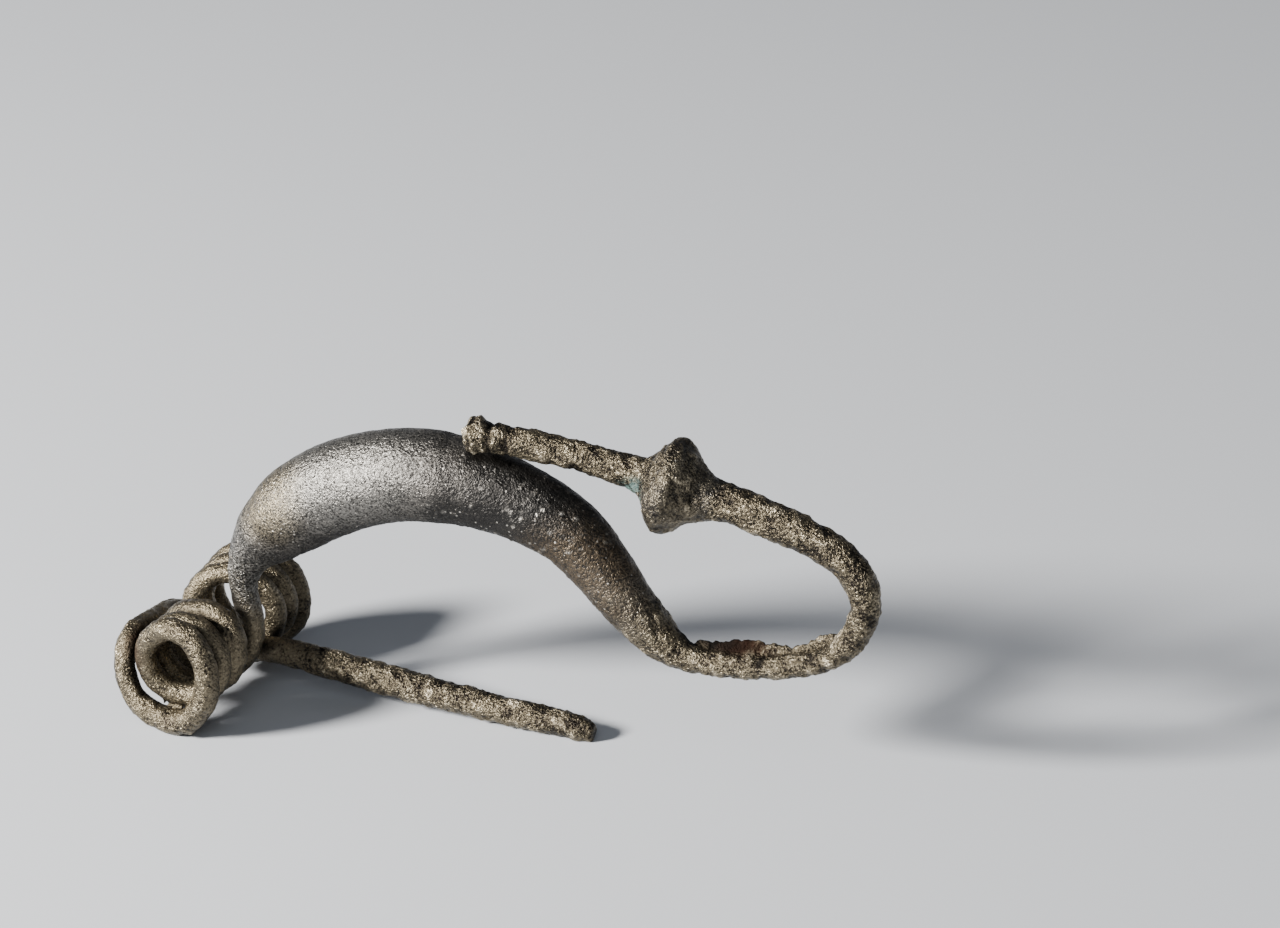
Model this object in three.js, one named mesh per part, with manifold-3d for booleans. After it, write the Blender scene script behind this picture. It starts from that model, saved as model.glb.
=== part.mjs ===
// A bronze bow brooch, made from one rod: a swollen bow, a foot that returns over it in a loop with a
// knob and a broken terminal, and a spring of three turns a side that ends in a broken pin.
// Millimetres, +Z up, as it stands on its two wide end loops and the pin's tip; the foot loop is at +X.
import * as THREE from "three";
import * as BufferGeometryUtils from "three/addons/utils/BufferGeometryUtils.js";
import Module from "manifold-3d";

const wasm = await Module();
wasm.setup();

// Bow
const SPAN = 33.0; // spring axis to the lowest point of the foot
const FOOT_Z = 8.3; // centre of the foot's wire above the ground
const BOW_RISE = 9.65; // foot to the highest point of the bow's centre line
const BOW_D = 6.05; // thickest place

// Foot, loop and catchplate
const LOOP_REACH = 10.6; // lowest point of the foot to the far side of the loop
const LOOP_RISE = 11.2; // foot to the wire beside the knob
const LOOP_WIRE = 2.2;
const LIP_START = -0.5; // lowest point of the foot to the catchplate's remains
const LIP_RUN = 9.2;
const LIP_T = 0.5;
const LIP_H = 0.95; // above the foot's wire

// Knob and terminal
const KNOB_D = 6.35;
const KNOB_BACK = 1.8; // lowest point of the foot to the knob's rim, along X
const KNOB_LIFT = 0.35; // end of the loop to the knob's centre
const KNOB_LEFT = 1.7; // rim to terminal
const KNOB_RIGHT = 2.5; // rim to loop
const KNOB_SLOPE = 0.19; // the wire climbs this much for each mm through the knob
const RIM = 0.35; // half the rim's width
const TERMINAL_RUN = 11.0;
const TERMINAL_RISE = 1.65;
const TERMINAL_LEAN = 1.3; // the broken end stands this far to the near side
const TERMINAL_WIRE = 1.9;

// Spring and pin
const AXIS_Z = 4.5; // spring axis above the ground
const SPRING_WIRE = 1.66;
const COIL_R = 2.45; // axis to the middle of the wire in the inner turns
const LOOP_R = 3.8; // the same in the wide end loops
const NEAR_Y = 6.5; // bow to the last turn on the near side
const FAR_Y = 6.9; // bow to the last turn on the far side
const PIN_X = 25.2; // spring axis to the broken tip
const PIN_Y = 2.45;
const PIN_D = 2.0;
const PIN_TIP_D = 1.7;
const FLAT = 0.09; // depth of the flat spots that it stands on

// Fineness of the skin
const SIDES = 16;
const STEP = 1.0;

const sunk = (d) => d / 2 - FLAT;
const wireR = SPRING_WIRE / 2;

// Terminal from its broken end: share of the run, of the lean, of the rise, of the thickness
const knobX = SPAN - KNOB_BACK;
const knobZ = FOOT_Z + LOOP_RISE + KNOB_LIFT;
const terminal = [
  [1.0, 1.0, 1.0, 1.28], [0.94, 0.94, 0.98, 1.2], [0.9, 0.9, 0.97, 1.0], [0.86, 0.85, 0.95, 1.12],
  [0.82, 0.8, 0.93, 1.0], [0.68, 0.6, 0.83, 1.02], [0.42, 0.26, 0.55, 0.98], [0.2, 0.08, 0.26, 1.04],
].map(([run, lean, rise, thick]) => ({
  p: [
    knobX - KNOB_LEFT - run * TERMINAL_RUN,
    -lean * TERMINAL_LEAN,
    knobZ + KNOB_SLOPE * KNOB_LEFT + rise * TERMINAL_RISE,
  ],
  r: (thick * TERMINAL_WIRE) / 2,
}));

// Knob: a double cone round the wire
const throughKnob = (x, r) => ({ p: [knobX + x, 0, knobZ - KNOB_SLOPE * x], r });
const knob = [
  throughKnob(-KNOB_LEFT, 0.6 * TERMINAL_WIRE), throughKnob(-0.6 * KNOB_LEFT, 0.36 * KNOB_D),
  throughKnob(-RIM, 0.5 * KNOB_D), throughKnob(RIM, 0.49 * KNOB_D),
  throughKnob(0.6 * KNOB_RIGHT, 0.29 * KNOB_D), throughKnob(KNOB_RIGHT, 0.62 * LOOP_WIRE),
];

// Foot loop from the knob down to the foot: share of the reach, of the rise, of the thickness
const loop = [
  [0.13, 0.99, 1.12], [0.416, 0.923, 1.08], [0.7, 0.838, 0.98], [0.925, 0.705, 0.97], [1.0, 0.52, 0.9],
  [0.93, 0.295, 0.8], [0.757, 0.135, 0.7], [0.5, 0.05, 0.68], [0.25, 0.01, 0.7],
].map(([reach, rise, thick]) => ({
  p: [SPAN + reach * LOOP_REACH, 0, FOOT_Z + rise * LOOP_RISE],
  r: (thick * LOOP_WIRE) / 2,
}));

// Bow from the foot up, over and down its neck: share of the span, of the rise, of the thickness
const bow = [
  [1.0, 0.0, 0.27], [0.965, 0.02, 0.33], [0.935, 0.08, 0.42], [0.875, 0.27, 0.54],
  [0.817, 0.505, 0.635], [0.752, 0.745, 0.72], [0.666, 0.89, 0.785], [0.573, 0.975, 0.875],
  [0.469, 1.0, 0.975], [0.37, 0.942, 0.985], [0.273, 0.805, 1.0], [0.191, 0.615, 0.955],
  [0.126, 0.4, 0.76], [0.087, 0.225, 0.48], [0.067, 0.02, 0.31],
].map(([span, rise, thick]) => ({ p: [span * SPAN, 0, FOOT_Z + rise * BOW_RISE], r: (thick * BOW_D) / 2 }));

// Near turns: angle from the foot side, down first; shares of the radius, of the distance from the bow
// and of the wire's thickness
const onCoil = (degrees, r, y, thick) => {
  const a = THREE.MathUtils.degToRad(degrees);
  return { p: [r * Math.cos(a), y, AXIS_Z - r * Math.sin(a)], r: thick * wireR };
};
const nearTurns = [
  [0, 1.13, 0.02, 1], [50, 1.06, 0.08, 1], [100, 1.0, 0.15, 1], [150, 0.96, 0.2, 1],
  [205, 0.95, 0.26, 1], [241, 0.94, 0.29, 1], [274, 1.0, 0.34, 1], [306, 1.18, 0.38, 1],
  [336, 1.26, 0.43, 1], [385, 1.14, 0.45, 0.95],
  [429, 0.98, 0.46, 0.93], [471, 0.95, 0.48, 0.93], [508, 0.95, 0.51, 0.93], [545, 0.93, 0.54, 0.93],
  [590, 0.95, 0.59, 0.93], [629, 1.03, 0.64, 0.93], [659, 1.1, 0.67, 0.93], [696, 1.14, 0.7, 0.93],
  [745, 1.08, 0.72, 0.93], [789, 0.96, 0.73, 0.93], [831, 0.93, 0.75, 0.93], [868, 0.93, 0.78, 0.93],
  [905, 0.93, 0.82, 0.88], [950, 1.0, 0.88, 0.86], [989, 1.26, 0.95, 0.93], [1019, 1.28, 0.98, 0.95],
  [1054, 1.13, 1.0, 0.95], [1109, 1.13, 0.99, 0.98],
].map(([degrees, radius, away, thick]) => onCoil(degrees, radius * COIL_R, -away * NEAR_Y, thick));
const nearEnd = [
  [1159, 0.96, 0.93, 1], [1175, 1.0, 0.91, 1], [1195, 1.03, 0.88, 0.98], [1224, 1.1, 0.82, 0.88],
  [1250, 1.07, 0.75, 0.85],
].map(([degrees, radius, away, thick]) => onCoil(degrees, radius * LOOP_R, -away * NEAR_Y, thick));

// Chord: straight across behind the turns, from the near end loop to the far one
const chord = [
  [1.06, -0.65 * NEAR_Y, 0.45], [1.07, -0.48 * NEAR_Y, 0.7], [1.09, 0, 0.1], [1.15, 0.37 * FAR_Y, -0.6],
].map(([radius, y, lift]) => ({ p: [-radius * LOOP_R, y, AXIS_Z + lift], r: 0.9 * wireR }));

// Far turns, wound back to the bow the other way round
const farEnd = [
  [150, 1.3, 0.84, 0.95], [115, 1.1, 0.93, 1], [85, 1.0, 0.98, 1], [42, 0.87, 1.0, 0.95],
].map(([degrees, radius, away, thick]) => onCoil(degrees, radius * LOOP_R, away * FAR_Y, thick));
const farTurns = [
  [5, 1.18, 1.0], [-34, 1.1, 0.985], [-80, 1.09, 0.94], [-120, 1.17, 0.885], [-163, 1.2, 0.835],
  [-200, 1.12, 0.81], [-240, 1.08, 0.795], [-280, 1.1, 0.785], [-320, 1.12, 0.775], [-355, 1.14, 0.76],
  [-394, 1.12, 0.74],
  [-440, 1.1, 0.695], [-480, 1.12, 0.645], [-523, 1.14, 0.595], [-560, 1.08, 0.57], [-600, 1.08, 0.555],
  [-640, 1.1, 0.545], [-680, 1.12, 0.535], [-715, 1.12, 0.52], [-754, 1.1, 0.5], [-800, 1.1, 0.455],
  [-840, 1.13, 0.405], [-883, 1.14, 0.355], [-910, 1.1, 0.335], [-940, 1.1, 0.325], [-970, 1.14, 0.3],
  [-1005, 1.12, 0.285],
].map(([degrees, radius, away]) => onCoil(degrees, radius * COIL_R, away * FAR_Y, 0.9));

// Broken pin: share of its run, share of its fall, share of the way across to its tip, thickness
const root = { x: 0.92 * COIL_R, y: 0.29 * FAR_Y, z: AXIS_Z - 0.77 * COIL_R };
const pin = [
  [0.0, 0.0, 0.0, SPRING_WIRE], [0.09, 0.0, 0.1, 0.5 * (SPRING_WIRE + PIN_D)], [0.22, 0.17, 0.2, PIN_D],
  [0.43, 0.48, 0.4, PIN_D], [0.73, 0.82, 0.7, 0.92 * PIN_D], [0.945, 1.0, 0.95, PIN_TIP_D],
  [1.0, 1.1, 1.0, 0.77 * PIN_TIP_D],
].map(([run, fall, across, thick]) => ({
  p: [
    root.x + run * (PIN_X - root.x),
    root.y + across * (PIN_Y - root.y),
    root.z + fall * (sunk(PIN_TIP_D) - root.z),
  ],
  r: thick / 2,
}));

// Rings along a smooth curve through the stations, with the thickness eased from one to the next
const ringsAlong = (stations, step) => {
  const places = stations.map(({ p }) => new THREE.Vector3(...p));
  const curve = new THREE.CatmullRomCurve3(places, false, "centripetal");
  const spans = stations.length - 1;
  const rings = [];
  for (let i = 0; i < spans; i += 1) {
    const count = Math.max(1, Math.round(places[i].distanceTo(places[i + 1]) / step));
    for (let k = 0; k < count; k += 1) {
      const t = k / count;
      const r = THREE.MathUtils.lerp(stations[i].r, stations[i + 1].r, THREE.MathUtils.smoothstep(t, 0, 1));
      rings.push({ p: curve.getPoint((i + t) / spans), r });
    }
  }
  rings.push({ p: places[spans], r: stations[spans].r });
  return rings;
};

// Closed round skin over the rings, each turned as little as possible from the one before
const roundSkin = (rings, sides) => {
  const positions = [];
  const index = [];
  const last = rings.length - 1;
  let normal = new THREE.Vector3(0, 1, 0);
  rings.forEach(({ p, r }, i) => {
    const along = rings[Math.min(i + 1, last)].p.clone().sub(rings[Math.max(i - 1, 0)].p).normalize();
    normal = normal.clone().projectOnPlane(along).normalize();
    const side = along.clone().cross(normal);
    for (let k = 0; k < sides; k += 1) {
      const a = (2 * Math.PI * k) / sides;
      const q = p.clone().addScaledVector(normal, r * Math.cos(a)).addScaledVector(side, r * Math.sin(a));
      positions.push(q.x, q.y, q.z);
    }
  });
  const at = (i, k) => i * sides + (k % sides);
  for (let i = 0; i < last; i += 1) {
    for (let k = 0; k < sides; k += 1) {
      index.push(at(i, k), at(i, k + 1), at(i + 1, k + 1));
      index.push(at(i, k), at(i + 1, k + 1), at(i + 1, k));
    }
  }
  const startCentre = positions.length / 3;
  positions.push(...rings[0].p, ...rings[last].p);
  for (let k = 0; k < sides; k += 1) {
    index.push(startCentre, at(0, k + 1), at(0, k));
    index.push(startCentre + 1, at(last, k), at(last, k + 1));
  }
  return indexedGeometry(positions, index);
};

const indexedGeometry = (positions, index) => {
  const geometry = new THREE.BufferGeometry();
  geometry.setAttribute("position", new THREE.Float32BufferAttribute(positions, 3));
  geometry.setIndex(index);
  return geometry;
};

const toSolid = (geometry) => {
  geometry.deleteAttribute("normal");
  geometry.deleteAttribute("uv");
  const merged = BufferGeometryUtils.mergeVertices(geometry);
  const mesh = new wasm.Mesh({
    numProp: 3,
    vertProperties: Float32Array.from(merged.attributes.position.array),
    triVerts: Uint32Array.from(merged.index.array),
  });
  return new wasm.Manifold(mesh);
};

const toGeometry = (solid) => {
  const mesh = solid.getMesh();
  const geometry = indexedGeometry([...mesh.vertProperties], [...mesh.triVerts]);
  geometry.computeVertexNormals();
  return geometry;
};

// The rod, from the broken terminal to the broken pin
const rings = ringsAlong([
  ...terminal, ...knob, ...loop, ...bow, ...nearTurns, ...nearEnd, ...chord, ...farEnd, ...farTurns, ...pin,
], STEP);
const rod = toSolid(roundSkin(rings, SIDES));

// Catchplate: a low broken lip that stands up from the far side of the foot's wire
const lowHalf = ({ p }) => p.x > SPAN / 2 && p.z < FOOT_Z + LOOP_RISE / 2;
const footRings = rings.filter(lowHalf).sort((a, b) => a.p.x - b.p.x);
const footZ = (x) => {
  const i = footRings.findIndex(({ p }) => p.x > x);
  const [a, b] = [footRings[i - 1].p, footRings[i].p];
  return THREE.MathUtils.mapLinear(x, a.x, b.x, a.z, b.z);
};
const swell = (at, middle, width) => Math.exp(-(((at - middle) / width) ** 2));
const lipHeight = (at) => LIP_H * Math.min(1, 0.35 + 0.6 * swell(at, 0.36, 0.2) + 0.6 * swell(at, 0.9, 0.1));
const lipSections = 18;
const lipBaseY = 0.22 * LOOP_WIRE;
const lipPositions = [];
const lipIndex = [];
for (let i = 0; i <= lipSections; i += 1) {
  const at = i / lipSections;
  const x = SPAN + LIP_START + at * LIP_RUN;
  const z = footZ(x);
  const top = z + 0.3 * LOOP_WIRE + lipHeight(at);
  lipPositions.push(x, lipBaseY - LIP_T / 2, z, x, lipBaseY + LIP_T / 2, z);
  lipPositions.push(x, lipBaseY + LIP_T, top, x, lipBaseY + 0.2 * LIP_T, top);
}
for (let i = 0; i < 4 * lipSections; i += 4) {
  for (let k = 0; k < 4; k += 1) {
    const [a, b] = [i + k, i + ((k + 1) % 4)];
    lipIndex.push(a, b, b + 4, a, b + 4, a + 4);
  }
}
const lipEnd = 4 * lipSections;
lipIndex.push(0, 2, 1, 0, 3, 2, lipEnd, lipEnd + 1, lipEnd + 2, lipEnd, lipEnd + 2, lipEnd + 3);
const lip = toSolid(indexedGeometry(lipPositions, lipIndex));

// Whole brooch, cut flat where it stands, with the origin on the ground under its middle
const whole = rod.add(lip);
const { min, max } = whole.boundingBox();
const room = [0, 1, 2].map((i) => 2 * (max[i] - min[i]));
const middle = [0, 1].map((i) => (min[i] + max[i]) / 2);
const aboveGround = new THREE.BoxGeometry(...room);
aboveGround.translate(middle[0], middle[1], room[2] / 2);
const standing = whole.intersect(toSolid(aboveGround)).translate([-middle[0], -middle[1], 0]);

const bronze = new THREE.MeshStandardMaterial({ color: 0x3a332b, roughness: 0.55, metalness: 0.8 });
const fibula = new THREE.Mesh(toGeometry(standing), bronze);
fibula.name = "fibula";

const brooch = new THREE.Group();
brooch.add(fibula);
export default brooch;
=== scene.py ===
import math

import bpy
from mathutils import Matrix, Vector


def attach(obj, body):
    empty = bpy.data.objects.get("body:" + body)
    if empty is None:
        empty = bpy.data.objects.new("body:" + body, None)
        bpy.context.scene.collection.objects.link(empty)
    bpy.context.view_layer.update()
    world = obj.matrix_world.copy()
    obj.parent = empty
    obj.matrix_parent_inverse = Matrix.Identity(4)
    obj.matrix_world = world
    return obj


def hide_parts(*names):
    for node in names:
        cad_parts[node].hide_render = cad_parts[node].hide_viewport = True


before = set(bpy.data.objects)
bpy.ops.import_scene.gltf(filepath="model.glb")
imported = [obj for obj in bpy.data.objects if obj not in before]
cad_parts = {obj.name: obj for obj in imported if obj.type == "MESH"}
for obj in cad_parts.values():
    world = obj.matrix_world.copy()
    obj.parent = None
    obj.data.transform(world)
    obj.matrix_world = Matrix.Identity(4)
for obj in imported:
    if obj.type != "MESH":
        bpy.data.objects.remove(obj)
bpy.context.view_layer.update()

# Camera and stage
# The photograph's view, a long lens held low and to the left of the foot, over a plain pale table.
# The camera looks along azimuth and elevation at a point on its axis; all lengths are millimetres.
VIEW_AZIMUTH = 20.5
VIEW_ELEVATION = 25.0
VIEW_AIM = (3.74, 15.18, 13.33)
VIEW_DISTANCE = 274.2
LENS = 119.5
SENSOR = 36.0
NEAREST_SEEN = 10.0
FLOOR_HALF = 1500.0
FLOOR_COLOUR = (0.50, 0.52, 0.55, 1.0)
FLOOR_ROUGHNESS = 0.9
FLOOR_SPECULAR = 0.15
MM = 0.001


def metres(point):
    return Vector(point) * MM


azimuth = math.radians(VIEW_AZIMUTH)
elevation = math.radians(VIEW_ELEVATION)
view_line = Vector((
    -math.sin(azimuth) * math.cos(elevation),
    math.cos(azimuth) * math.cos(elevation),
    -math.sin(elevation),
))
view_right = Vector((math.cos(azimuth), math.sin(azimuth), 0.0))
view_near = Vector((math.sin(azimuth), -math.cos(azimuth), 0.0))

camera_data = bpy.data.cameras.new("photo_camera")
camera_data.lens = LENS
camera_data.sensor_width = SENSOR
camera_data.clip_start = NEAREST_SEEN * MM
camera = bpy.data.objects.new("photo_camera", camera_data)
camera.location = metres(VIEW_AIM) - view_line * VIEW_DISTANCE * MM
camera.rotation_euler = view_line.to_track_quat("-Z", "Y").to_euler()
bpy.context.collection.objects.link(camera)
bpy.context.scene.camera = camera

floor_mesh = bpy.data.meshes.new("floor")
floor_corners = [metres((x, y, 0)) * FLOOR_HALF for x, y in ((-1, -1), (1, -1), (1, 1), (-1, 1))]
floor_mesh.from_pydata(floor_corners, [], [(0, 1, 2, 3)])
floor = bpy.data.objects.new("floor", floor_mesh)
bpy.context.collection.objects.link(floor)
floor_paint = bpy.data.materials.new("floor_paint")
floor_paint.use_nodes = True
paint = floor_paint.node_tree.nodes["Principled BSDF"]
paint.inputs["Base Color"].default_value = FLOOR_COLOUR
paint.inputs["Roughness"].default_value = FLOOR_ROUGHNESS
paint.inputs["Specular IOR Level"].default_value = FLOOR_SPECULAR
floor_mesh.materials.append(floor_paint)

# Studio light
# One large soft lamp low on the left, a little to the near side, as in the photograph, with a weak
# fill and a pale room. A lamp's place is given as shares of left, near and up, then a distance.
ROOM_COLOUR = (0.86, 0.9, 1.0, 1.0)
ROOM_STRENGTH = 0.18
LAMP_TARGET = (0.0, 0.0, 8.0)
KEY_LAMP = {
    "left": 1.0, "near": 0.42, "up": 0.55, "distance": 420.0, "size": 90.0,
    "watts": 8.0, "colour": (1.0, 0.97, 0.93),
}
FILL_LAMP = {
    "left": 0.1, "near": 1.0, "up": 0.9, "distance": 600.0, "size": 400.0,
    "watts": 0.6, "colour": (0.9, 0.95, 1.0),
}

room = bpy.data.worlds.new("pale_room")
room.use_nodes = True
room.node_tree.nodes["Background"].inputs["Color"].default_value = ROOM_COLOUR
room.node_tree.nodes["Background"].inputs["Strength"].default_value = ROOM_STRENGTH
bpy.context.scene.world = room


def soft_lamp(name, left, near, up, distance, size, watts, colour):
    towards = (-left * view_right + near * view_near + Vector((0, 0, up))).normalized()
    data = bpy.data.lights.new(name, "AREA")
    data.shape = "DISK"
    data.size = size * MM
    data.energy = watts
    data.color = colour
    lamp = bpy.data.objects.new(name, data)
    lamp.location = metres(LAMP_TARGET) + towards * distance * MM
    lamp.rotation_euler = (-towards).to_track_quat("-Z", "Y").to_euler()
    bpy.context.collection.objects.link(lamp)


soft_lamp("key_lamp", **KEY_LAMP)
soft_lamp("fill_lamp", **FILL_LAMP)

# Bronze brooch, one rod
# A bow cast thick and hammered out at both ends into wire, which was bent into the foot loop and wound
# into the spring. Its skin is corroded: grains and small blisters on the bow, lumps and ridges on the wire.
WELD_REACH = 0.001
ROUNDING_STEPS = 2
SKIN_CELL = 0.157
RAY_START = 0.1
RAY_LENGTH = 20.0
THICKNESS_BLUR = 12
HOLLOW_BLUR = 5
HOLLOW_CLOSE = 0.6
HOLLOW_FAR_SHARE = 0.25
REGION_CORE = 0.35
BOW_HEAD = (-11.0, -1.0, 19.0)
BOW_HEAD_REACH = (9.0, 6.0, 6.5)
SPRING = (-19.6, 0.0, 4.5)
SPRING_REACH = (8.0, 14.0, 8.0)
BLISTERS = (2.5, -1.5, 16.5)
BLISTERS_REACH = (9.0, 5.0, 5.5)
TERMINAL_END = (-1.1, -1.5, 21.8)
TERMINAL_REACH = (4.2, 2.4, 2.4)
BREAK_REACH = (1.5, 1.9, 1.9)
TERMINAL_SLOPE = 0.14
TERMINAL_UNDERSIDE = 20.45
GROOVE_START = 0.33
KNOB = (11.6, 0.0, 19.9)
KNOB_REACH = (4.6, 6.0, 6.0)
LIP_CREST = (17.0, 0.6, 10.1)
LIP_CREST_REACH = (6.5, 0.9, 1.0)
RIDGE_SLANT = 35.0
RIDGE_STRETCH = (1.0, 0.35, 0.35)
GRAIN_ROUGHNESS = 0.6
RELIEF_SCALE = 10.0

# The tree's named inputs: sizes, heights and depths in millimetres, and the fixed seed.
SKIN_SIZES = {
    "Lump size": 0.8, "Lump height": 0.26, "Ridge size": 0.5, "Ridge height": 0.38,
    "Grain size": 0.22, "Grain height": 0.14, "Pit size": 0.5, "Pit depth": 0.09,
    "Blister size": 0.46, "Blister height": 0.09, "Groove spacing": 1.17, "Groove depth": 0.2,
    "Break height": 1.2, "Crest height": 0.75, "Wire thickness": 2.4, "Bow thickness": 4.0,
    "Hollow width": 3.6, "Seed": 4.0,
}

# How strongly each form shows: first on the bow, then what the wire and the knob add to it.
KNOB_AS_WIRE = 0.85
GRAINS_ON_BOW = 0.8
GRAINS_WIRE_ADDS = 0.5
LUMPS_ON_BOW = 0.28
LUMPS_WIRE_ADDS = 0.72
LUMPS_KNOB_ADDS = 0.2
HEAD_CALM = 0.5
SPRING_CALM = 0.55
GROOVE_WANDER = 0.5
GROOVE_WANDER_SIZE = 1.0
BREAK_RISE = 0.12
BREAK_SIZE = 0.9
CREST_SIZE = 0.55

# Where a form's edge begins and ends, and the values there; the cells lines say how many cells show.
PIT_EDGE = (0.15, 0.5, 1.0, 0.0)
PIT_CELLS = (0.5, 0.6)
BLISTER_EDGE = (0.12, 0.36, 1.0, 0.0)
BLISTER_CELLS = (0.2, 0.26)
GROOVE_EDGE = (0.04, 0.26, 1.0, 0.0)


def add_node(tree, kind, sockets=None, **settings):
    """One node of a tree; a socket's value is another node's output or a constant."""
    made = tree.nodes.new(kind)
    for name, value in settings.items():
        setattr(made, name, value)
    for name, value in (sockets or {}).items():
        if isinstance(value, bpy.types.NodeSocket):
            tree.links.new(value, made.inputs[name])
        else:
            made.inputs[name].default_value = value
    return made


def maths(tree, operation, *values):
    return add_node(tree, "ShaderNodeMath", dict(enumerate(values)), operation=operation).outputs[0]


def product(tree, *values):
    result = values[0]
    for value in values[1:]:
        result = maths(tree, "MULTIPLY", result, value)
    return result


def total(tree, *values):
    result = values[0]
    for value in values[1:]:
        result = maths(tree, "ADD", result, value)
    return result


def vector_maths(tree, operation, *values):
    return add_node(tree, "ShaderNodeVectorMath", dict(enumerate(values)), operation=operation).outputs[0]


def scaled(tree, vector, factor):
    return add_node(tree, "ShaderNodeVectorMath", {0: vector, "Scale": factor}, operation="SCALE").outputs[0]


def eased(tree, value, low, high, to_low=0.0, to_high=1.0):
    return add_node(
        tree, "ShaderNodeMapRange", {0: value, 1: low, 2: high, 3: to_low, 4: to_high},
        interpolation_type="SMOOTHSTEP",
    ).outputs[0]


def noise(tree, place, size, seed, detail=2.0, roughness=0.5):
    """Soft noise, 0 to 1, with patches of about this size in millimetres."""
    return add_node(
        tree, "ShaderNodeTexNoise",
        {"Vector": place, "Scale": maths(tree, "DIVIDE", 1.0, size), "W": seed, "Detail": detail,
         "Roughness": roughness},
        noise_dimensions="4D",
    ).outputs[0]


def swing(tree, place, size, seed, detail=2.0, roughness=0.5):
    """The same noise, about 0."""
    return maths(tree, "SUBTRACT", noise(tree, place, size, seed, detail, roughness), 0.5)


def cells(tree, place, size, seed):
    """Random cells of about this size: how far from each one's middle, in cells, and a random share."""
    made = add_node(
        tree, "ShaderNodeTexVoronoi",
        {"Vector": place, "Scale": maths(tree, "DIVIDE", 1.0, size), "W": seed},
        voronoi_dimensions="4D",
    )
    share = add_node(tree, "ShaderNodeSeparateXYZ", {0: made.outputs["Color"]}).outputs[0]
    return made.outputs["Distance"], share


def near_place(tree, place, centre, reach):
    """1 in the middle of an egg-shaped region, easing to 0 at its edge."""
    share = vector_maths(tree, "DIVIDE", vector_maths(tree, "SUBTRACT", place, centre), reach)
    length = add_node(tree, "ShaderNodeVectorMath", {0: share}, operation="LENGTH").outputs["Value"]
    return eased(tree, length, REGION_CORE, 1.0, 1.0, 0.0)


skin = bpy.data.node_groups.new("corroded_skin", "GeometryNodeTree")
skin.interface.new_socket("Geometry", in_out="INPUT", socket_type="NodeSocketGeometry")
skin.interface.new_socket("Geometry", in_out="OUTPUT", socket_type="NodeSocketGeometry")
for size_name in SKIN_SIZES:
    skin.interface.new_socket(size_name, in_out="INPUT", socket_type="NodeSocketFloat")
skin.interface.new_socket("Bronze", in_out="INPUT", socket_type="NodeSocketMaterial")
given = skin.nodes.new("NodeGroupInput").outputs

# The thickness of the metal under each point tells the wire from the bow.
metre_place = skin.nodes.new("GeometryNodeInputPosition").outputs[0]
mm_place = scaled(skin, metre_place, 1.0 / MM)
outward = skin.nodes.new("GeometryNodeInputNormal").outputs[0]
inward = scaled(skin, outward, -1.0)
across = add_node(skin, "GeometryNodeRaycast", {
    "Target Geometry": given["Geometry"],
    "Source Position": vector_maths(skin, "ADD", metre_place, scaled(skin, inward, RAY_START * MM)),
    "Ray Direction": inward, "Ray Length": RAY_LENGTH * MM,
})
thickness = add_node(skin, "GeometryNodeBlurAttribute", {
    "Value": product(skin, across.outputs["Hit Distance"], 1.0 / MM), "Iterations": THICKNESS_BLUR,
}).outputs[0]
on_knob = near_place(skin, mm_place, KNOB, KNOB_REACH)
wire = maths(
    skin, "MAXIMUM", eased(skin, thickness, given["Wire thickness"], given["Bow thickness"], 1.0, 0.0),
    product(skin, on_knob, KNOB_AS_WIRE),
)
seed = given["Seed"]

# Metal that faces other metal close by stands in a hollow, where no wear reaches; the hollow share later
# darkens it as painted shade.
facing = add_node(skin, "GeometryNodeRaycast", {
    "Target Geometry": given["Geometry"],
    "Source Position": vector_maths(skin, "ADD", metre_place, scaled(skin, outward, RAY_START * MM)),
    "Ray Direction": outward, "Ray Length": product(skin, given["Hollow width"], MM),
})
closeness = product(
    skin, facing.outputs["Is Hit"],
    eased(skin, product(skin, facing.outputs["Hit Distance"], 1.0 / MM), HOLLOW_CLOSE,
          given["Hollow width"], 1.0, HOLLOW_FAR_SHARE),
)
hollow = add_node(
    skin, "GeometryNodeBlurAttribute", {"Value": closeness, "Iterations": HOLLOW_BLUR},
).outputs[0]

turned = add_node(skin, "ShaderNodeVectorRotate", {
    "Vector": mm_place, "Axis": (0.0, 1.0, 0.0), "Angle": math.radians(RIDGE_SLANT),
}).outputs[0]
slanting = vector_maths(skin, "MULTIPLY", turned, RIDGE_STRETCH)
pit_distance, pit_share = cells(skin, mm_place, given["Pit size"], seed)
pits = product(skin, eased(skin, pit_distance, *PIT_EDGE), eased(skin, pit_share, *PIT_CELLS))
lumps = total(
    skin,
    product(skin, swing(skin, mm_place, given["Lump size"], seed, 1.0), given["Lump height"]),
    product(skin, swing(skin, slanting, given["Ridge size"], seed), given["Ridge height"]),
    product(skin, pits, given["Pit depth"], -1.0),
)
grains = product(
    skin, swing(skin, mm_place, given["Grain size"], seed, roughness=GRAIN_ROUGHNESS),
    given["Grain height"], total(skin, GRAINS_ON_BOW, product(skin, wire, GRAINS_WIRE_ADDS)),
)
blister_distance, blister_share = cells(skin, mm_place, given["Blister size"], seed)
blister = product(
    skin, eased(skin, blister_distance, *BLISTER_EDGE), eased(skin, blister_share, *BLISTER_CELLS),
    near_place(skin, mm_place, BLISTERS, BLISTERS_REACH), maths(skin, "SUBTRACT", 1.0, wire),
)
along = add_node(skin, "ShaderNodeSeparateXYZ", {0: mm_place}).outputs
on_terminal = maths(
    skin, "GREATER_THAN", total(skin, along["Z"], product(skin, along["X"], TERMINAL_SLOPE)),
    TERMINAL_UNDERSIDE,
)
wander = product(skin, swing(skin, mm_place, GROOVE_WANDER_SIZE, seed), GROOVE_WANDER)
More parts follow.
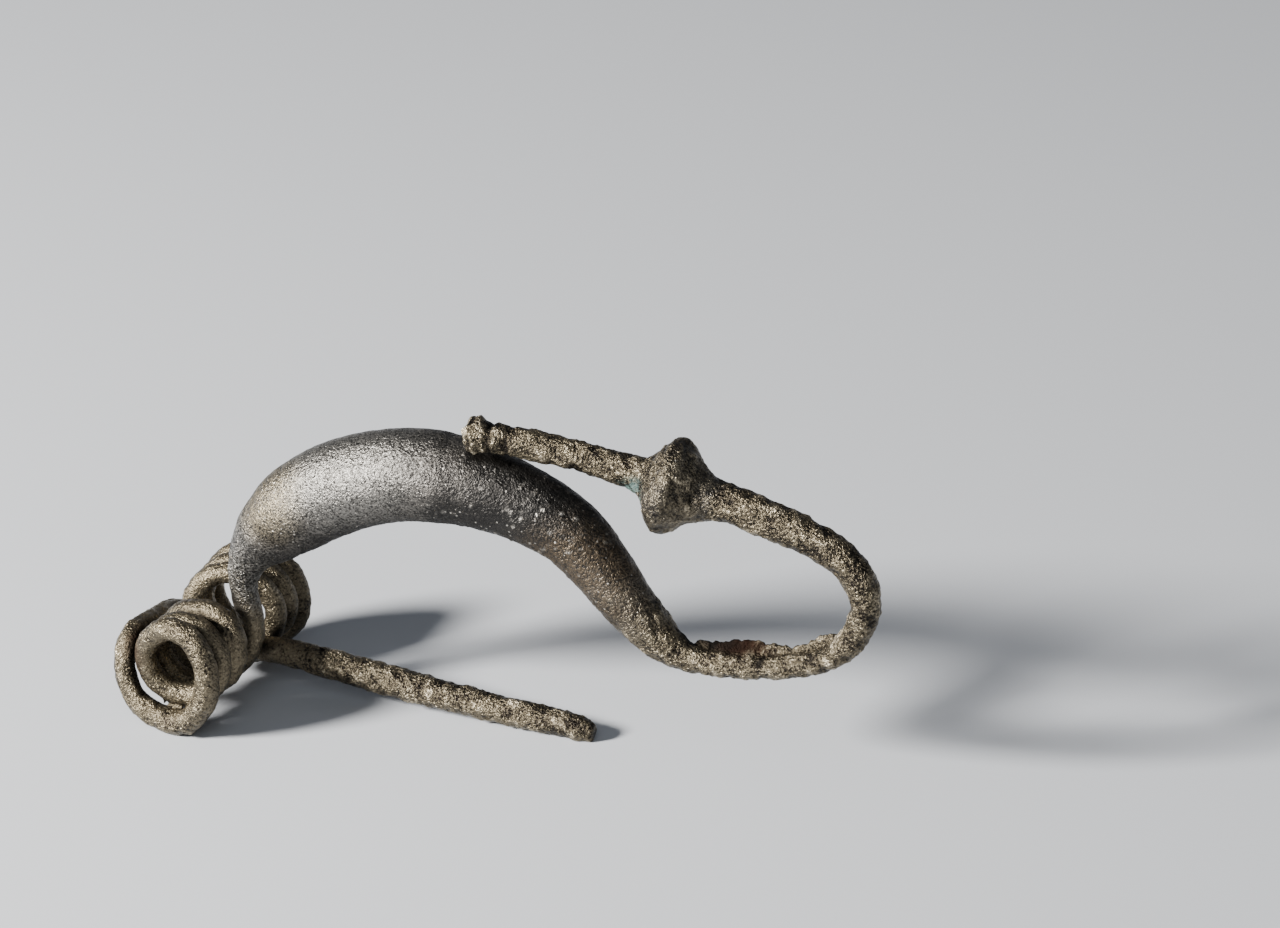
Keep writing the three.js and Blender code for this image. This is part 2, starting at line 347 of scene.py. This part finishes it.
beat = maths(
    skin, "PINGPONG", total(skin, along["X"], -GROOVE_START, wander),
    product(skin, given["Groove spacing"], 0.5),
)
groove = product(
    skin, eased(skin, beat, *GROOVE_EDGE), on_terminal,
    near_place(skin, mm_place, TERMINAL_END, TERMINAL_REACH),
)
torn = product(
    skin, on_terminal, near_place(skin, mm_place, TERMINAL_END, BREAK_REACH),
    total(skin, BREAK_RISE, swing(skin, mm_place, BREAK_SIZE, seed, 1.0)), given["Break height"],
)
ragged = product(
    skin, near_place(skin, mm_place, LIP_CREST, LIP_CREST_REACH),
    swing(skin, mm_place, CREST_SIZE, seed, 1.0), given["Crest height"],
)
calm = maths(skin, "SUBTRACT", 1.0, total(
    skin, product(skin, near_place(skin, mm_place, BOW_HEAD, BOW_HEAD_REACH), HEAD_CALM),
    product(skin, near_place(skin, mm_place, SPRING, SPRING_REACH), SPRING_CALM),
))
rough_places = total(
    skin, LUMPS_ON_BOW, product(skin, wire, LUMPS_WIRE_ADDS), product(skin, on_knob, LUMPS_KNOB_ADDS),
)
height = product(skin, calm, total(
    skin, grains, product(skin, lumps, rough_places),
    product(skin, blister, given["Blister height"]),
    product(skin, groove, given["Groove depth"], -1.0), torn, ragged,
))
raised = add_node(skin, "GeometryNodeSetPosition", {
    "Geometry": given["Geometry"], "Offset": scaled(skin, outward, product(skin, height, MM)),
}).outputs[0]
for kept_name, kept_value in {
    "relief": product(skin, height, RELIEF_SCALE), "wire": wire, "blister": blister, "hollow": hollow,
}.items():
    raised = add_node(skin, "GeometryNodeStoreNamedAttribute", {
        "Geometry": raised, "Name": kept_name, "Value": kept_value}).outputs[0]

# Nothing may stand below the table, so the flat spots under the end loops and the pin's tip stay flat.
place_now = add_node(skin, "ShaderNodeSeparateXYZ", {0: metre_place}).outputs
above = add_node(skin, "ShaderNodeCombineXYZ", {
    0: place_now[0], 1: place_now[1], 2: maths(skin, "MAXIMUM", place_now[2], 0.0)}).outputs[0]
standing = add_node(skin, "GeometryNodeSetPosition", {"Geometry": raised, "Position": above}).outputs[0]
smooth = add_node(skin, "GeometryNodeSetShadeSmooth", {"Geometry": standing}).outputs[0]
realized = add_node(skin, "GeometryNodeRealizeInstances", {"Geometry": smooth}).outputs[0]
covered = add_node(skin, "GeometryNodeSetMaterial", {
    "Geometry": realized, "Material": given["Bronze"]}).outputs[0]
skin.links.new(covered, skin.nodes.new("NodeGroupOutput").inputs[0])

# Patina: near-black bronze on the bow, with a satin grey painted highlight on its head, painted shade on its
# upper right and brown lower down; golden grains all over the wire and the knob, with wear and painted
# glints on crests; pale blisters with painted glints; a little green corrosion beside the knob, red-brown
# earth in the catchplate and the spring's hollows, and painted shade in the hollows and painted shadow in
# the catchplate corner under the bow.
BLACK_BRONZE = (0.022, 0.021, 0.020, 1.0)
GREY_BRONZE = (0.120, 0.112, 0.102, 1.0)
# Pale grey: the painted highlight on the bow's head, and the light specks on the neck.
HIGHLIGHT_AND_SPECK_BRONZE = (0.245, 0.236, 0.216, 1.0)
WARM_BRONZE = (0.130, 0.096, 0.060, 1.0)
GOLDEN_BRONZE = (0.230, 0.190, 0.120, 1.0)
DARK_WIRE = (0.017, 0.014, 0.011, 1.0)
GOLDEN_WIRE = (0.160, 0.134, 0.090, 1.0)
PAINTED_SHADE_BLACK = (0.006, 0.005, 0.004, 1.0)
WORN_AND_GLINT_BRONZE = (0.60, 0.52, 0.38, 1.0)
PALE_BLISTER_AND_GLINT = (0.52, 0.49, 0.44, 1.0)
GREEN_CRUST = (0.085, 0.150, 0.138, 1.0)
RED_EARTH = (0.024, 0.011, 0.0065, 1.0)
NECK = (-16.4, -0.6, 10.6)
NECK_REACH = (3.4, 2.6, 5.2)
SHOULDER = (-14.8, -1.6, 15.6)
SHOULDER_REACH = (4.2, 4.0, 4.0)
LOWER_BOW = (6.0, -1.0, 13.0)
LOWER_BOW_REACH = (6.5, 5.0, 5.5)
KNOB_JOINT = (9.7, -0.3, 19.6)
KNOB_JOINT_REACH = (1.9, 1.9, 1.6)
TROUGH = (15.4, 0.6, 9.6)
TROUGH_REACH = (3.2, 1.5, 1.3)
# The corner of the catchplate that the bow shades, darkened as painted shadow.
BOW_SHADOW_CORNER = (13.6, 0.6, 9.6)
BOW_SHADOW_CORNER_REACH = (3.6, 1.5, 1.4)
SPRING_HOLLOW = (-22.4, -4.6, 5.6)
SPRING_HOLLOW_REACH = (1.6, 3.0, 3.0)

# Patterns: the size of a patch in millimetres and the seed.
SPECK = (0.12, 5.0)
GRAIN = (0.17, 8.0)
TARNISH = (1.7, 2.0)
DRIFT = (2.2, 9.0)
GREEN_PATCH = (0.45, 3.0)
RED_PATCH = (0.6, 6.0)
SHADE_PATCH = (0.7, 4.0)
DULL_PATCH = (0.5, 7.0)
DOT = (0.3, 6.0)
GRIT = (0.2, 2.0)
FINE = {"detail": 2.0, "roughness": 0.6}

# Where a pattern begins and ends, and the shares it gives there if they aren't 0 and 1.
TARNISH_RANGE = (0.32, 0.72)
HEAD_HIGHLIGHT_RANGE = (0.36, 0.56, 0.1, 1.0)
RUBBED_RANGE = (0.35, 0.6)
WIRE_RANGE = (0.33, 0.62)
NECK_RANGE = (0.42, 0.58)
WEAR_AND_GLINT_RANGE = (0.25, 1.05)
DOT_EDGE = (0.16, 0.3, 1.0, 0.0)
DOT_CELLS = (0.45, 0.5)
GREEN_RANGE = (0.4, 0.56)
RED_RANGE = (0.36, 0.6, 0.8, 1.0)
SHADE_RANGE = (0.25, 0.6, 0.65, 1.0)
METALLIC_RANGE = (0.0, 1.0, 0.92, 0.1)
ROUGHNESS_RANGE = (0.3, 1.1, 0.33, 0.82)

# How much of each layer shows, or what one pattern adds to another.
SPECKS_IN_TARNISH = 1.3
SHOULDER_SHARE = 0.8
CROWN_SHADE_SHARE = 0.85
WARM_SHARE = 0.8
RELIEF_IN_GRAIN = 0.14
SPRING_TONE_AND_SHEEN_IN_GRAIN = 0.09
DRIFT_IN_GRAIN = 0.35
NECK_BARE = 0.8
NECK_SHARE = 0.75
RELIEF_IN_WEAR_AND_GLINTS = 0.75
GRAIN_IN_WEAR_AND_GLINTS = 2.2
WEAR_AND_GLINTS_ON_BOW = 0.14
WEAR_AND_GLINTS_WIRE_ADDS = 0.54
DOT_SHARE = 0.7
BLISTER_SHARE = 0.8
SHADE_IN_CRUST = 0.8
CRUST_AND_SHADE_DULLS = 0.6
HEAD_DULLS = -0.12
WIRE_DULLS = -0.15
GRIT_IN_BUMPS = -0.35
BUMPS_ON_BOW = 0.9
BUMPS_WIRE_ADDS = 0.7
BUMPS_NECK_ADDS = 0.5
BUMPS_SPRING_ADDS = -0.6
BUMP_HEIGHT = 0.12
BUMP_STRENGTH = 0.95

bronze = bpy.data.materials.new("bronze_patina")
bronze.use_nodes = True
coat = bronze.node_tree
shader = coat.nodes["Principled BSDF"]
place = scaled(coat, coat.nodes.new("ShaderNodeTexCoord").outputs["Object"], 1.0 / MM)
relief, wire_share, blisters, hollows = [
    add_node(coat, "ShaderNodeAttribute", attribute_name=name).outputs["Fac"]
    for name in ("relief", "wire", "blister", "hollow")
]


def blended(tree, share, first, second):
    return add_node(tree, "ShaderNodeMix", {0: share, 6: first, 7: second}, data_type="RGBA").outputs[2]


specks = noise(coat, place, *SPECK, **FINE)
head = near_place(coat, place, BOW_HEAD, BOW_HEAD_REACH)
tarnish = total(
    coat, noise(coat, place, *TARNISH, detail=4.0),
    product(coat, swing(coat, place, *SPECK), SPECKS_IN_TARNISH),
)
colour = blended(coat, eased(coat, tarnish, *TARNISH_RANGE), BLACK_BRONZE, GREY_BRONZE)
# Painted highlight: fine speckles on the bow's head are lightened to pale grey where the lamp's highlight
# falls.
head_highlight = product(coat, head, eased(coat, specks, *HEAD_HIGHLIGHT_RANGE))
colour = blended(coat, head_highlight, colour, HIGHLIGHT_AND_SPECK_BRONZE)
rubbed = eased(coat, specks, *RUBBED_RANGE)
shoulder = product(coat, near_place(coat, place, SHOULDER, SHOULDER_REACH), rubbed, SHOULDER_SHARE)
colour = blended(coat, shoulder, colour, GOLDEN_BRONZE)
# Painted shade: the bow's upper right, around the blisters, is darkened towards near-black.
painted_crown_shade = product(coat, near_place(coat, place, BLISTERS, BLISTERS_REACH), CROWN_SHADE_SHARE)
colour = blended(coat, painted_crown_shade, colour, BLACK_BRONZE)
warm = product(coat, near_place(coat, place, LOWER_BOW, LOWER_BOW_REACH), rubbed, WARM_SHARE)
colour = blended(coat, warm, colour, WARM_BRONZE)
coiled = near_place(coat, place, SPRING, SPRING_REACH)
# The wire's grain tone is lifted on the spring, partly for its paler golden tone and partly as painted
# sheen.
grain_tone = total(
    coat, noise(coat, place, *GRAIN, **FINE), product(coat, relief, RELIEF_IN_GRAIN),
    product(coat, coiled, SPRING_TONE_AND_SHEEN_IN_GRAIN), product(coat, swing(coat, place, *DRIFT), DRIFT_IN_GRAIN),
)
wire_colour = blended(coat, eased(coat, grain_tone, *WIRE_RANGE), DARK_WIRE, GOLDEN_WIRE)
neck = near_place(coat, place, NECK, NECK_REACH)
golden = product(coat, wire_share, maths(coat, "SUBTRACT", 1.0, product(coat, neck, NECK_BARE)))
colour = blended(coat, golden, colour, wire_colour)
speckled = blended(coat, eased(coat, specks, *NECK_RANGE), BLACK_BRONZE, HIGHLIGHT_AND_SPECK_BRONZE)
colour = blended(coat, product(coat, neck, NECK_SHARE), colour, speckled)
high = total(
    coat, product(coat, relief, RELIEF_IN_WEAR_AND_GLINTS),
    product(coat, swing(coat, place, *GRAIN), GRAIN_IN_WEAR_AND_GLINTS),
)
# Wear and painted glints: crests and scattered grains are lightened to pale bronze, more on the wire.
wear_and_glints = product(
    coat, eased(coat, high, *WEAR_AND_GLINT_RANGE),
    total(coat, WEAR_AND_GLINTS_ON_BOW, product(coat, wire_share, WEAR_AND_GLINTS_WIRE_ADDS)),
)
colour = blended(coat, wear_and_glints, colour, WORN_AND_GLINT_BRONZE)
# Pale blisters and painted glints: blister tops and small dots off the wire are painted pale.
dot, dot_share = cells(coat, place, *DOT)
dots_and_glints = product(
    coat, eased(coat, dot, *DOT_EDGE), eased(coat, dot_share, *DOT_CELLS),
    maths(coat, "SUBTRACT", 1.0, wire_share), DOT_SHARE,
)
pale_and_glints = maths(coat, "MAXIMUM", product(coat, blisters, BLISTER_SHARE), dots_and_glints)
colour = blended(coat, pale_and_glints, colour, PALE_BLISTER_AND_GLINT)
green = product(
    coat, near_place(coat, place, KNOB_JOINT, KNOB_JOINT_REACH),
    eased(coat, noise(coat, place, *GREEN_PATCH), *GREEN_RANGE),
)
earthy = total(
    coat, near_place(coat, place, TROUGH, TROUGH_REACH),
    near_place(coat, place, SPRING_HOLLOW, SPRING_HOLLOW_REACH),
)
red = product(coat, earthy, eased(coat, noise(coat, place, *RED_PATCH), *RED_RANGE))
colour = blended(coat, red, blended(coat, green, colour, GREEN_CRUST), RED_EARTH)
# Painted shade and shadow: hollows where metal faces metal, and the catchplate corner in the bow's shadow,
# are darkened to near-black in patches.
painted_shade_and_shadow = product(
    coat, maths(coat, "MAXIMUM", hollows, near_place(coat, place, BOW_SHADOW_CORNER, BOW_SHADOW_CORNER_REACH)),
    eased(coat, noise(coat, place, *SHADE_PATCH, detail=3.0), *SHADE_RANGE),
)
colour = blended(coat, painted_shade_and_shadow, colour, PAINTED_SHADE_BLACK)
coat.links.new(colour, shader.inputs["Base Color"])
crust_and_shade = maths(coat, "MAXIMUM", maths(coat, "MAXIMUM", green, red), product(coat, painted_shade_and_shadow, SHADE_IN_CRUST))
coat.links.new(eased(coat, green, *METALLIC_RANGE), shader.inputs["Metallic"])
dull = total(
    coat, noise(coat, place, *DULL_PATCH, detail=3.0), product(coat, crust_and_shade, CRUST_AND_SHADE_DULLS),
    product(coat, head, HEAD_DULLS), product(coat, wire_share, WIRE_DULLS),
)
coat.links.new(eased(coat, dull, *ROUGHNESS_RANGE), shader.inputs["Roughness"])
grit = cells(coat, place, *GRIT)[0]
strong = total(
    coat, BUMPS_ON_BOW, product(coat, wire_share, BUMPS_WIRE_ADDS), product(coat, neck, BUMPS_NECK_ADDS),
    product(coat, coiled, BUMPS_SPRING_ADDS),
)
bumps = product(coat, total(coat, specks, product(coat, grit, GRIT_IN_BUMPS)), strong)
bump = add_node(
    coat, "ShaderNodeBump", {"Height": bumps, "Distance": BUMP_HEIGHT * MM, "Strength": BUMP_STRENGTH},
)
coat.links.new(bump.outputs[0], shader.inputs["Normal"])

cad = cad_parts["fibula"]
brooch = bpy.data.objects.new("brooch", cad.data.copy())
brooch.data.materials.clear()
bpy.context.collection.objects.link(brooch)
weld = brooch.modifiers.new("weld", "WELD")
weld.merge_threshold = WELD_REACH * MM
rounding = brooch.modifiers.new("rounding", "SUBSURF")
rounding.levels = rounding.render_levels = ROUNDING_STEPS
even = brooch.modifiers.new("even_cells", "REMESH")
even.mode = "VOXEL"
even.voxel_size = SKIN_CELL * MM
corroded = brooch.modifiers.new("corroded", "NODES")
corroded.node_group = skin
for socket in skin.interface.items_tree:
    if socket.in_out == "INPUT" and socket.name in SKIN_SIZES:
        corroded[socket.identifier] = SKIN_SIZES[socket.name]
    if socket.in_out == "INPUT" and socket.name == "Bronze":
        corroded[socket.identifier] = bronze
dressed = bpy.data.meshes.new_from_object(brooch.evaluated_get(bpy.context.evaluated_depsgraph_get()))
brooch.modifiers.clear()
brooch.data = dressed
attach(brooch, "root")
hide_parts("fibula")
